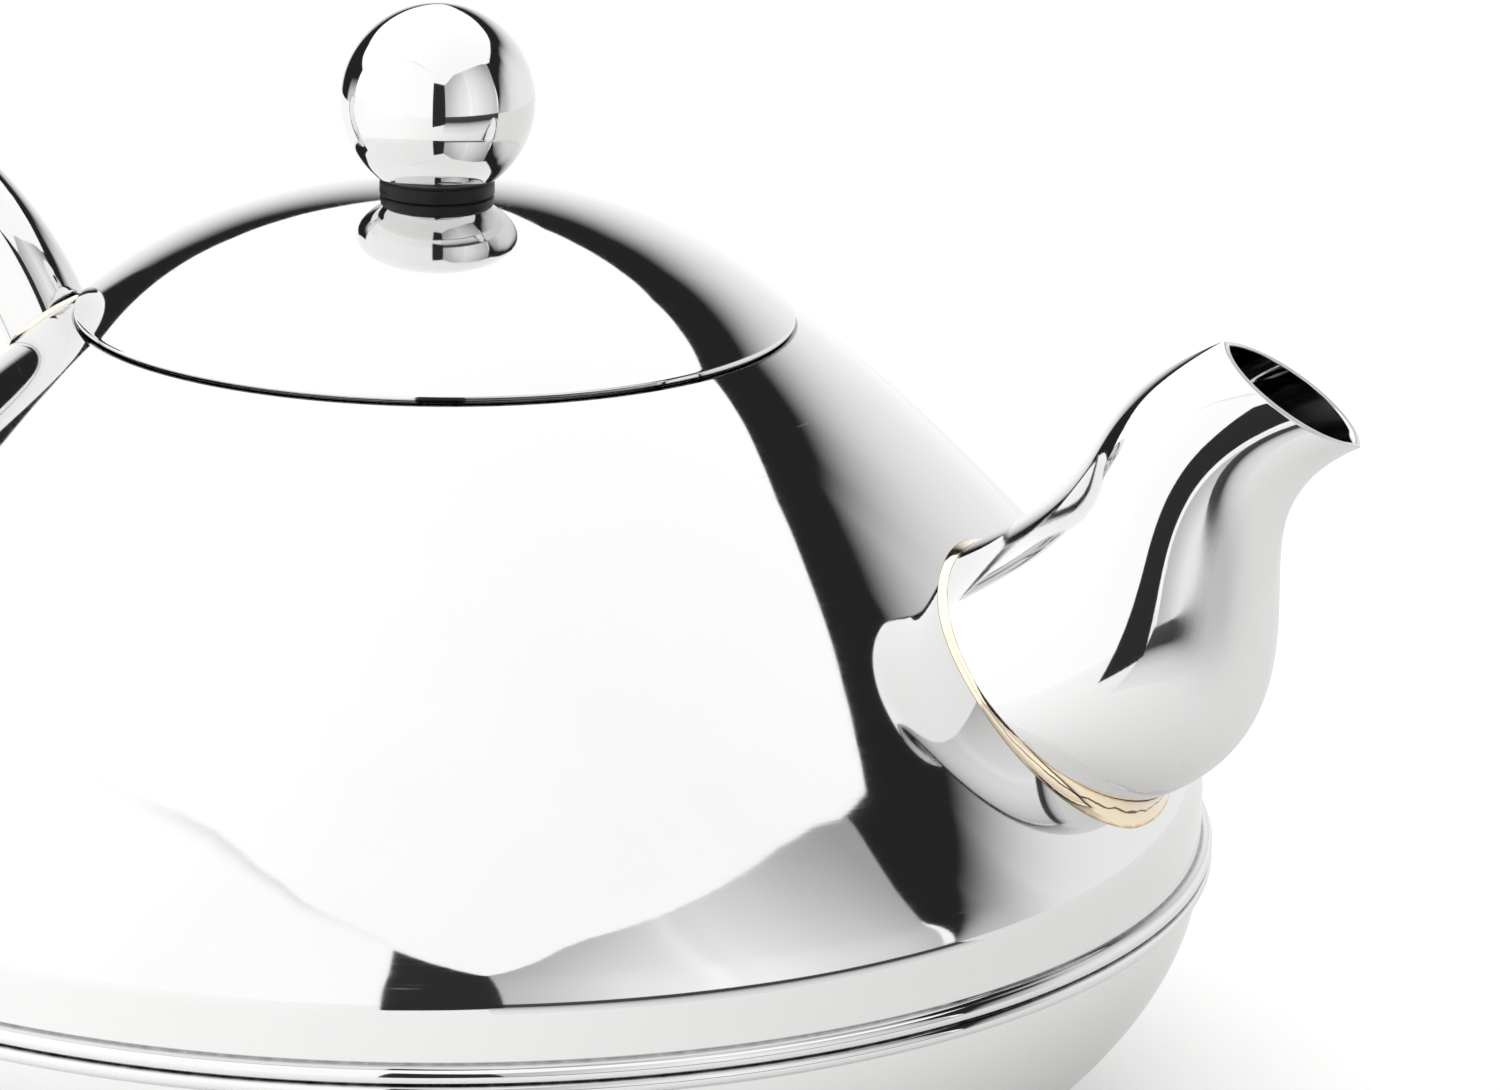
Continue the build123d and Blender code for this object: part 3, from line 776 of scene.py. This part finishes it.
def handle():
    cols, rows = 72, 220
    turn = np.linspace(0, 2 * np.pi, cols, endpoint=False)
    round_x, round_y = np.cos(turn) * HANDLE_GRAIN_R, np.sin(turn) * HANDLE_GRAIN_R
    blocks, flow = [], []
    for radius, way in ((HANDLE_TUBE_R, 1), (HANDLE_TUBE_R - HANDLE_WALL, -1)):
        start, end = handle_ends(turn, radius, 0.05)
        for k in np.linspace(0, 1, rows)[::way]:
            along = start + (end - start) * k
            blocks.append(handle_point(along, turn, radius))
            flow.append(np.stack([along, round_x, round_y], -1) * MM)
    faces = grid_faces(2 * rows, cols, True, True)
    obj = piece("handle_tube_steel", np.concatenate(blocks), faces, "pot", ["handle_tube"],
                "handle_steel", MATERIALS["handle_steel"], 45)
    add_vectors(obj, "flow", np.concatenate(flow))


def handle_brazes():
    turn = np.linspace(0, 2 * np.pi, 160, endpoint=False)
    for which, node, seed in ((0, "handle_top_braze", 40), (1, "handle_bottom_braze", 60)):
        root_s = handle_ends(turn, HANDLE_TUBE_R, 0.0)[which]
        root = handle_point(root_s, turn, HANDLE_TUBE_R)
        wide_s = handle_ends(turn, HANDLE_TUBE_R + 1.0, 0.0)[which]
        outward = handle_point(wide_s, turn, HANDLE_TUBE_R + 1.0) - root
        outward /= np.linalg.norm(outward, axis=1, keepdims=True)
        spread = 0.75 + smooth_noise(root, 0.9, seed) * 0.16
        climb = 0.6 + smooth_noise(root, 0.8, seed + 1) * 0.14
        on_dome = to_dome(root + outward * spread[:, None], 0.02)
        step = 1 if which == 0 else -1
        forward = handle_point(root_s + step * 0.5, turn, HANDLE_TUBE_R + 0.02) - root
        forward /= np.linalg.norm(forward, axis=1, keepdims=True)
        on_tube = root + forward * climb[:, None]
        braze_ring(node + "_gold", node, "foot_braze", root, on_dome, on_tube, seed + 2)


# ---- lid and knob -------------------------------------------------------------------------
def lid():
    edge_top = RIM_RISE + LID_GAP + LID_EDGE
    slope, lip, chamfer = LID_EDGE_SLOPE, 0.32, 0.12
    fall = np.array([math.cos(slope), -math.sin(slope)])
    end = np.array([RIM_R, edge_top])
    knee = end - LID_EDGE_REACH * fall
    brow_r = LID_FLAT_R + LID_TOP_REACH * math.cos(LID_TOP_SLOPE)
    dip = LID_TOP_REACH * math.sin(LID_TOP_SLOPE)
    outer = bezier([(LID_FLAT_R, LID_TOP_RISE), (brow_r, LID_TOP_RISE - dip), knee, end], 130)
    back = lip * math.tan((math.pi / 2 - slope) / 2)      # where the lip's round begins
    keep = np.linalg.norm(outer - end, axis=1) > back
    start = end - fall * back
    lip_centre = (RIM_R - lip, end[1] - back)
    rounded = arc(lip_centre, lip, math.pi / 2 - slope, 0, 9)
    inner_top = LID_TOP_RISE - WALL
    inner_knee = (knee[0] - WALL * math.sin(slope), knee[1] - WALL * math.cos(slope))
    inner_end = (LID_FOOT_R - WALL, edge_top - WALL / 4)
    inner = bezier([(LID_FLAT_R, inner_top), (brow_r, inner_top - dip), inner_knee, inner_end], 60)
    seat, edge = RIM_RISE - LID_GAP, RIM_RISE + LID_GAP
    profile = chain(
        steps((SCREW_HOLE_R, LID_TOP_RISE), (LID_FLAT_R, LID_TOP_RISE), 4), outer[keep], [start], rounded,
        [rounded[-1], (RIM_R, edge + chamfer), (RIM_R - chamfer, edge), (LID_FOOT_R, edge)],
        [(LID_FOOT_R, edge), (LID_FOOT_R, seat)],
        [(LID_FOOT_R, seat), (LID_FOOT_R - WALL, seat), inner_end], inner[::-1],
        [(LID_FLAT_R, inner_top), (SCREW_HOLE_R, inner_top)])
    piece("lid_shell_steel", *revolve(profile), "lid", ["lid_shell"],
          "lid_steel", MATERIALS["lid_steel"])


def knob():
    foot = WASHER_TOP - BALL_RISE
    inner_r = BALL_R - WALL
    outside = arc((0, BALL_RISE), BALL_R, math.asin(foot / BALL_R), math.pi / 2, 120)
    inside = arc((0, BALL_RISE), inner_r, math.pi / 2, -math.acos(BUSH_R / inner_r), 60)
    outside[-1, 0] = inside[0, 0] = 0.0
    profile = chain(inside, [(BUSH_R, WASHER_TOP)], outside)
    piece("knob_ball_steel", *revolve(profile, KNOB_SEGMENTS), "lid", ["knob_ball"],
          "knob_steel", MATERIALS["knob_steel"])


def washer():
    round_r, low, high = 0.3, LID_TOP_RISE, WASHER_TOP
    profile = chain(
        [(SCREW_HOLE_R, low), (WASHER_R - round_r, low)],
        arc((WASHER_R - round_r, low + round_r), round_r, -math.pi / 2, 0, 8),
        arc((WASHER_R - round_r, high - round_r), round_r, 0, math.pi / 2, 8),
        [(WASHER_R - round_r, high), (SCREW_HOLE_R, high)])
    piece("knob_washer_black", *revolve(profile, KNOB_SEGMENTS), "lid", ["knob_washer"],
          "washer_black", MATERIALS["washer_black"])


def inner_parts():
    """The small parts inside keep their CAD shape."""
    for node in ("lid_ring", "knob_bush", "knob_screw", "knob_plate_washer"):
        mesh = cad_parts[node].data
        mesh.materials.clear()
        mesh.materials.append(MATERIALS["inner_steel"])


# ---- studio -------------------------------------------------------------------------------
def glow_material(name):
    """Light from a sheet, as strong as its own "glow" values say."""
    material = bpy.data.materials.new(name)
    material.use_nodes = True
    tree = material.node_tree
    tree.nodes.clear()
    out = tree.nodes.new("ShaderNodeOutputMaterial")
    light = tree.nodes.new("ShaderNodeEmission")
    level = tree.nodes.new("ShaderNodeAttribute")
    level.attribute_name = "glow"
    tree.links.new(level.outputs["Fac"], light.inputs["Strength"])
    tree.links.new(light.outputs[0], out.inputs[0])
    return material


def sheet(name, material, rows, levels):
    """A studio sheet seen only in reflections: rows of points and the light at each point."""
    verts = [point for row in rows for point in row]
    mesh = bpy.data.meshes.new(name)
    mesh.from_pydata(verts, [], grid_faces(len(rows), len(rows[0]), False, False))
    glow = mesh.attributes.new("glow", "FLOAT", "POINT")
    glow.data.foreach_set("value", np.asarray(levels, np.float32).ravel())
    mesh.materials.append(material)
    obj = bpy.data.objects.new(name, mesh)
    bpy.context.scene.collection.objects.link(obj)
    obj.visible_camera = False
    obj.visible_shadow = False
    obj.visible_diffuse = False


def along(table, value):
    """Straight-line reading of a short list of (value, level) pairs."""
    return np.interp(value, [row[0] for row in table], [row[1] for row in table])


def right_panel(material):
    """A diffuser on the right of the camera, brightest in the middle."""
    left_edge = 12.5
    right_edge_at = [(0.1, 77.0), (0.3, 78.0), (0.5, 81.0), (0.65, 84.0)]
    top_at = [(10, 0.48), (13, 0.50), (15, 0.52), (20, 0.59), (25, 0.67), (30, 0.71), (40, 0.74),
              (50, 0.76), (60, 0.765), (70, 0.755), (78, 0.72), (84, 0.67)]
    low_at = [(12, 0.60), (20, 0.74), (30, 0.98), (40, 1.06), (50, 1.07), (60, 0.92), (70, 0.79), (80, 0.55)]
    high_at = [(12, 0.50), (20, 0.55), (30, 0.61), (40, 0.76), (50, 0.82), (60, 0.71), (70, 0.52), (80, 0.39)]
    across = np.linspace(0, 1, 73)
    top = along(top_at, left_edge + (right_edge_at[-1][1] - left_edge) * across)
    rows, levels = [], []
    for v in np.linspace(0, 1, 41):
        height = top * v
        angle = left_edge + (along(right_edge_at, height) - left_edge) * across
        rows.append([round_room(a, WALL_R, h) for a, h in zip(angle, height)])
        streak = 0.10 * np.exp(-((angle - 43.0) / 2.0) ** 2)
        levels.append(along(low_at, angle) * (1 - v ** 2) + along(high_at, angle) * v ** 2 + streak)
    sheet("right_panel", material, rows, levels)


def table_gap(material):
    """The table under the diffuser, which grows dim towards its edge, and the dark gap behind."""
    angle = np.linspace(11, 79, 35)
    table = along([(11, 1.0), (45, 0.88), (79, 0.86)], angle)
    edge = along([(11, 0.397), (40, 0.402), (67, 0.440), (79, 0.470)], angle)
    reach = [edge - 0.19, edge - 0.12, edge - 0.05, edge - 0.005, edge + 0.02, edge * 0 + WALL_R - 0.005]
    shade = [table, table * 0.86, table * 0.55, table * 0.25, table * 0.06, table * 0.09]
    rise = [0.002] * 5 + [0.0135]
    rows = [[round_room(a, r, z) for a, r in zip(angle, distance)] for distance, z in zip(reach, rise)]
    sheet("table_gap", material, rows, shade)


def camera_gap(material):
    """The dark gap that the camera looks through, leaning away to the right."""
    low = [round_room(-2.0, 0.30, 0.0), round_room(13.0, 0.36, 0.0)]
    high = [round_room(-1.5, 0.33, 0.31), round_room(12.5, 0.75, 0.52)]
    sheet("camera_gap", material, [low, high], [[0.03] * 2] * 2)


def back_wall(material):
    """Right, back and left: the pale backdrop, which fades upwards into the dark of the room, and
    ends at the edge of the light overhead. It stands a little behind the diffuser."""
    behind = 1.02
    angles = np.concatenate([np.linspace(79, 100, 43), np.linspace(101, 250, 150)])
    top_at = [(79, 0.70), (85, 0.67), (90, 0.65), (95, 0.68), (100, 0.70), (110, 0.725), (118, 0.735),
              (130, 0.718), (140, 0.71), (150, 0.69), (155, 0.66), (160, 0.63), (165, 0.59), (170, 0.54),
              (175, 0.475), (178, 0.41), (183, 0.29), (186, 0.30), (190, 0.33), (195, 0.355), (200, 0.37),
              (205, 0.37), (210, 0.372), (221, 0.38), (227, 0.375), (235, 0.33), (250, 0.30)]
    dark_at = [(79, 0.06), (82, 0.20), (86, 0.33), (90, 0.42), (100, 0.50), (110, 0.53), (117, 0.58),
               (127, 0.575), (131, 0.543), (138, 0.518), (145, 0.51), (160, 0.485), (170, 0.425),
               (178, 0.345), (184, 0.31), (200, 0.30), (204, 0.27), (208, 0.10),
               (214, 0.0), (230, 0.0), (236, 0.16), (250, 0.22)]
    base_at = [(79, 0.62), (90, 0.68), (100, 0.93), (110, 0.97), (120, 0.99), (155, 1.0), (170, 1.08),
               (190, 1.10), (200, 1.02), (250, 1.02)]
    soft_at = [(79, 0.10), (90, 0.165), (100, 0.13), (110, 0.11), (150, 0.125), (165, 0.12), (180, 0.10),
               (190, 0.10), (205, 0.11), (250, 0.11)]
    top, dark, base, soft = (along(table, angles) for table in (top_at, dark_at, base_at, soft_at))
    rows, levels = [], []
    for v in np.linspace(0, 1, 110):
        height = top * v
        rows.append([round_room(a, WALL_R * behind, h * behind) for a, h in zip(angles, height)])
        below = np.clip(dark - height, 0, 1)
        levels.append(0.02 + (base - 0.02) * (1 - np.exp(-(below / soft) ** 1.25)))
    sheet("back_wall", material, rows, levels)


def left_screen(material):
    """Bright screen on the left, with a thin grey line where the light overhead begins."""
    angles = np.linspace(-90, -1, 179)
    top_at = [(-90, 0.64), (-85, 0.69), (-70, 0.85), (-60, 0.92), (-50, 0.98), (-42, 1.01), (-35, 1.00),
              (-25, 0.95), (-20, 0.90), (-10, 0.83), (-3, 0.75), (-1, 0.70)]
    depth_at = [(-90, 0.02), (-60, 0.05), (-48, 0.24), (-40, 0.30), (-22, 0.30), (-14, 0.12), (-1, 0.05)]
    base_at = [(-90, 1.28), (-50, 1.27), (-35, 1.235), (-3, 1.21)]
    top, depth, base = (along(table, angles) for table in (top_at, depth_at, base_at))
    rows, levels = [], []
    for below in np.r_[np.linspace(1.0, 0.12, 12), np.linspace(0.11, 0, 23)]:
        height = np.clip(top - below, 0, 2)
        rows.append([round_room(a, WALL_R, h) for a, h in zip(angles, height)])
        levels.append(base - depth * math.exp(-(below / 0.030) ** 2))
    sheet("left_screen", material, rows, levels)


def floor_sheet():
    """Pale paper floor. In reflections it carries painted shade: its right side is a little dimmer and
    warmer.
    """
    size = 4.0
    corners = [(-size, -size, 0), (size, -size, 0), (size, size, 0), (-size, size, 0)]
    mesh = bpy.data.meshes.new("floor")
    mesh.from_pydata(corners, [], [(0, 1, 2, 3)])
    floor = bpy.data.objects.new("floor", mesh)
    bpy.context.scene.collection.objects.link(floor)
    n = Nodes("floor_paper")
    fibre = n.noise(n.place(), 900.0, 3.0)
    paper = n.blend(fibre, (0.93, 0.925, 0.92, 1), (0.95, 0.945, 0.94, 1))
    outward = n.add("VectorMath", {"operation": "NORMALIZE"}, Vector=n.place())
    toward = n.add("VectorMath", {"operation": "DOT_PRODUCT"})
    n.put(toward.inputs[0], outward.outputs["Vector"])
    toward.inputs[1].default_value = round_room(-77, 1.0, 0.0)
    side = n.remap(toward.outputs["Value"], -1.0, 1.0, 0.0, 1.0)
    # painted shade, seen only in reflections: dimmer and warmer towards the right
    dim = n.blend(side, (0.70, 0.695, 0.69, 1), (0.98, 0.978, 0.975, 1))
    seen = n.add("LightPath").outputs["Is Camera Ray"]
    n.put(n.shader.inputs["Base Color"], n.blend(seen, dim, paper))
    n.shader.inputs["Roughness"].default_value = 0.9
    n.shader.inputs["Specular IOR Level"].default_value = 0.1
    mesh.materials.append(n.material)


def studio():
    world = bpy.data.worlds.new("studio")
    bpy.context.scene.world = world
    world.use_nodes = True
    tree = world.node_tree
    toward = tree.nodes.new("ShaderNodeVectorMath")
    toward.operation = "DOT_PRODUCT"
    tree.links.new(tree.nodes.new("ShaderNodeTexCoord").outputs["Generated"], toward.inputs[0])
    toward.inputs[1].default_value = round_room(45, 1.0, 0.0)
    level = tree.nodes.new("ShaderNodeMapRange")
    tree.links.new(toward.outputs["Value"], level.inputs["Value"])
    for key, number in zip(("From Min", "From Max", "To Min", "To Max"), (-0.2, 0.6, 1.30, 1.18)):
        level.inputs[key].default_value = number
    tree.links.new(level.outputs["Result"], tree.nodes["Background"].inputs["Strength"])
    tree.nodes["Background"].inputs["Color"].default_value = (1, 1, 1, 1)
    floor_sheet()
    material = glow_material("studio_light")
    right_panel(material)
    table_gap(material)
    camera_gap(material)
    back_wall(material)
    left_screen(material)


# ---- camera -------------------------------------------------------------------------------
CAMERA_PLACE = (0.26006, -0.58396, 0.23937)
CAMERA_PITCH, CAMERA_ROLL = math.radians(15.977), math.radians(1.581)
CAMERA_LENS, CAMERA_SENSOR = 156.79, 36.0
CAMERA_SHIFT = (-0.0823, 0.0326)


def camera():
    data = bpy.data.cameras.new("camera")
    data.sensor_width = CAMERA_SENSOR
    data.lens = CAMERA_LENS
    data.shift_x, data.shift_y = CAMERA_SHIFT
    obj = bpy.data.objects.new("camera", data)
    bpy.context.scene.collection.objects.link(obj)
    right = Vector(room(1.0, 0.0))
    ahead = Vector(room(0.0, math.cos(CAMERA_PITCH), -math.sin(CAMERA_PITCH)))
    up = right.cross(ahead)
    tilted_right = right * math.cos(CAMERA_ROLL) + up * math.sin(CAMERA_ROLL)
    tilted_up = up * math.cos(CAMERA_ROLL) - right * math.sin(CAMERA_ROLL)
    turned = Matrix((tilted_right, tilted_up, -ahead)).transposed().to_4x4()
    obj.matrix_world = Matrix.Translation(Vector(CAMERA_PLACE)) @ turned
    data.clip_start, data.clip_end = 0.01, 20.0
    bpy.context.scene.camera = obj
    bpy.context.scene.view_settings.view_transform = "Standard"


upper_shell()
lower_shell()
spout_half(1)
spout_half(-1)
spout_braze()
handle()
handle_brazes()
lid()
knob()
washer()
inner_parts()
studio()
camera()
